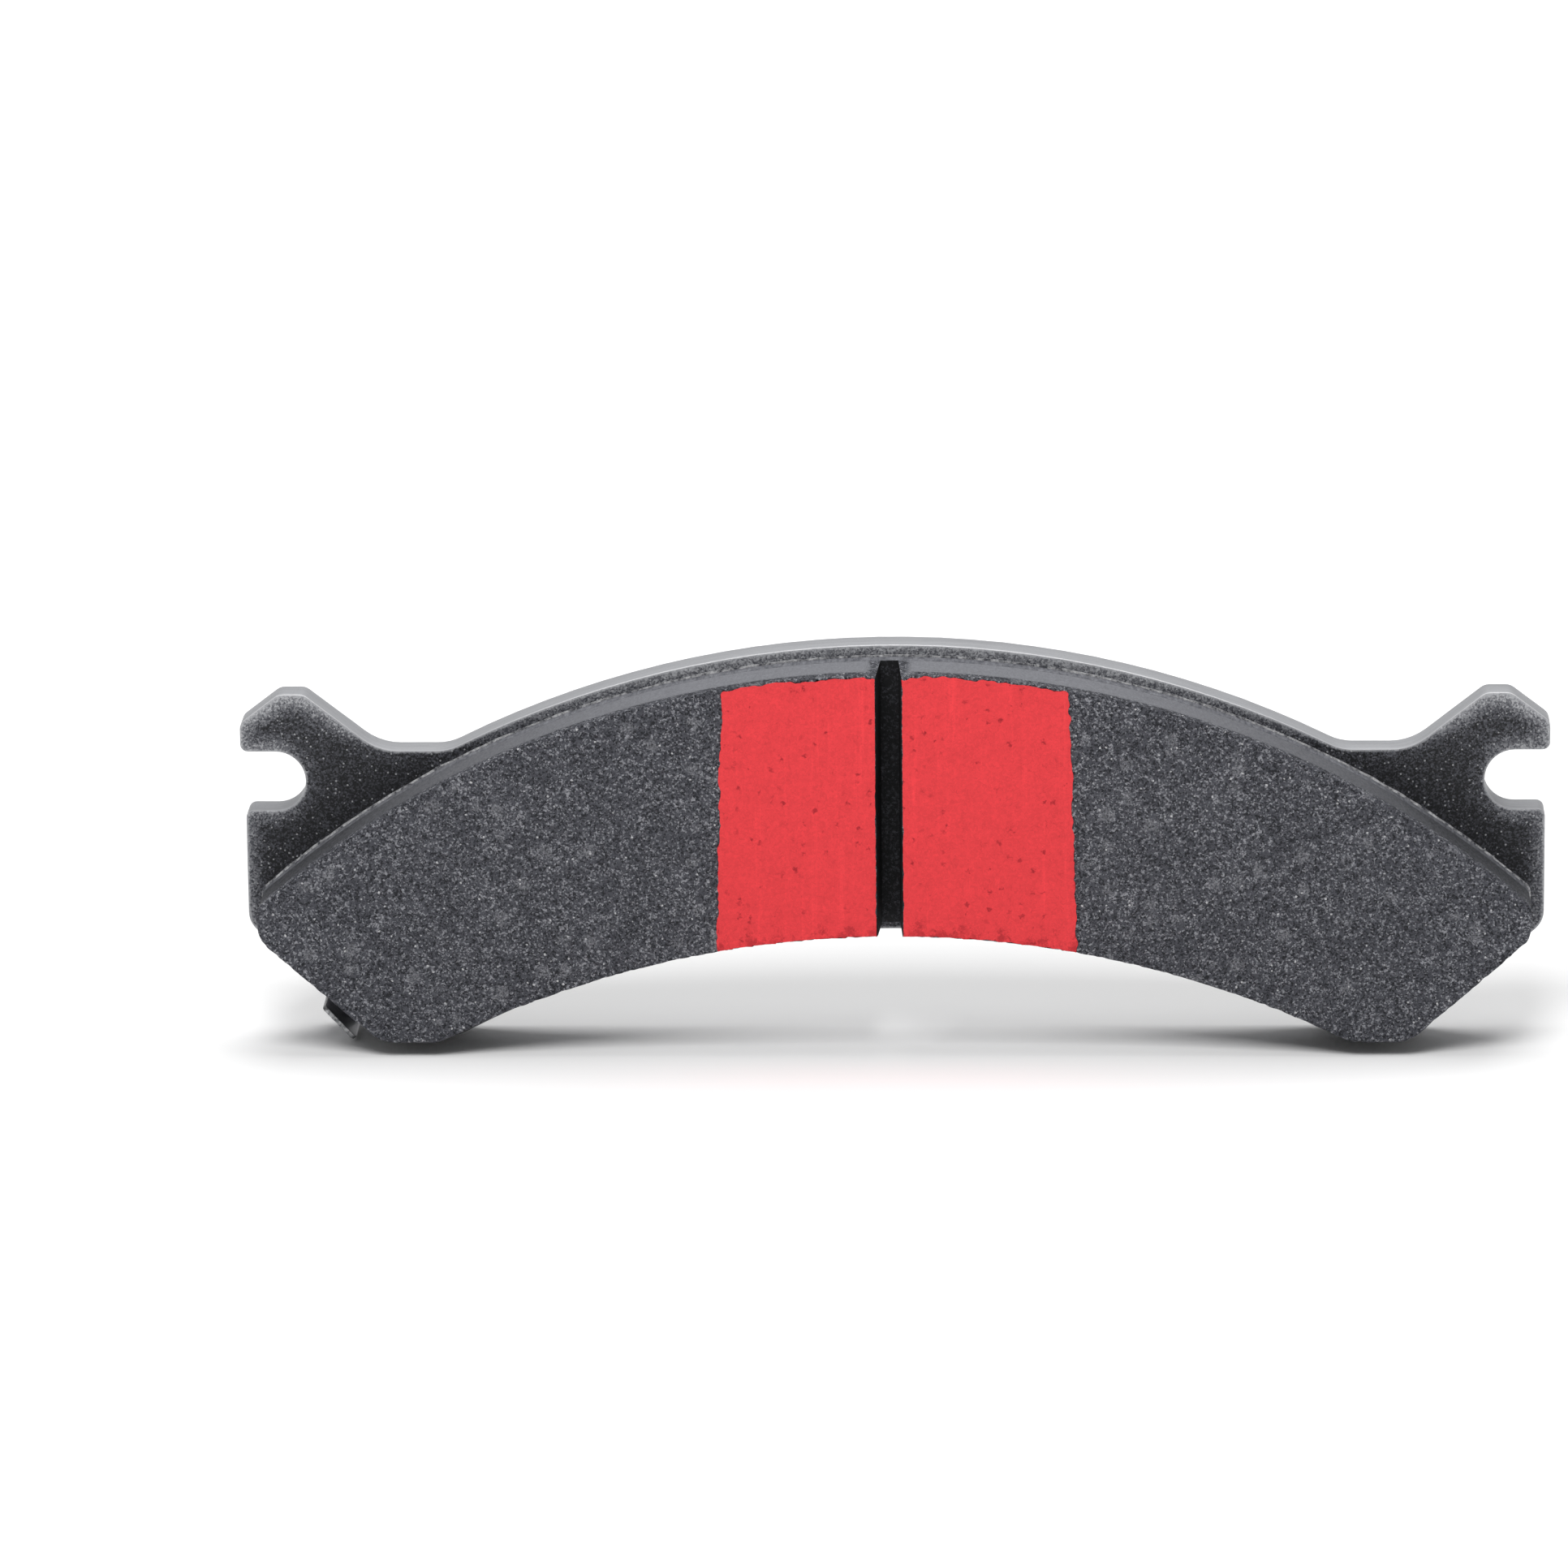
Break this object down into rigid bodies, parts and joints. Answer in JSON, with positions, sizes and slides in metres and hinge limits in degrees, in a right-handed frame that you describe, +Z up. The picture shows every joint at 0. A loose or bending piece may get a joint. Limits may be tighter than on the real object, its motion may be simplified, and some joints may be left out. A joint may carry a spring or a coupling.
{
  "type": "disc brake pad",
  "caption": "Disc brake pad: eared steel backing plate, arched friction lining with a centre groove, damping shim, and a sprung wear sensor at one lower corner.",
  "frame": {"origin": "on the floor under the pad, midway along X and midway along Y of its box, standing on its two feet", "axes": "+X across the pad towards the end without the wear sensor, +Y towards the caliper (shim) side, -Y towards the rotor, +Z up towards the outer arc"},
  "size_m": [0.202, 0.0204, 0.0627],
  "materials": {
    "plate_paint": "crackled silver-grey baked paint on pressed steel, satin",
    "adhesive": "cured phenolic adhesive, pale and dull",
    "underlayer": "moulded insulating friction mix, dark grey and speckled",
    "friction_material": "ground friction material, dark grey with fine light and dark grains, matt",
    "bedding_paint": "thin red abrasive paint, matt",
    "shim_steel": "cold-rolled steel, edges only showing",
    "shim_rubber": "black nitrile rubber with a fine diagonal weave pressed into it",
    "stud_steel": "mottled zinc-plated steel",
    "spring_steel": "bare rolled spring steel, smooth"
  },
  "bodies": {
    "pad": {"backing_plate": "plate_paint", "bond_layer": "adhesive", "underlayer": "underlayer", "lining_left": "friction_material", "lining_right": "friction_material", "bedding_coat_left": "bedding_paint", "bedding_coat_right": "bedding_paint", "shim_adhesive_film": "adhesive", "shim_rubber_cushion": "shim_rubber", "shim_steel_core": "shim_steel", "shim_rubber_coat": "shim_rubber", "shim_stud_left_end": "stud_steel", "shim_stud_left_middle": "stud_steel", "shim_stud_right_middle": "stud_steel", "shim_stud_right_end": "stud_steel", "sensor_base": "spring_steel", "sensor_rivet": "stud_steel"},
    "sensor_spring": {"sensor_arm": "spring_steel"}
  },
  "joints": [
    {"name": "sensor_flex", "type": "hinge", "parent": "pad", "child": "sensor_spring", "pos_m": [-0.08095, 0.00774, 0.0081], "axis": [0.682, 0, -0.7314], "range_deg": [0, 6], "stiffness_Nm_per_rad": 5}
  ]
}
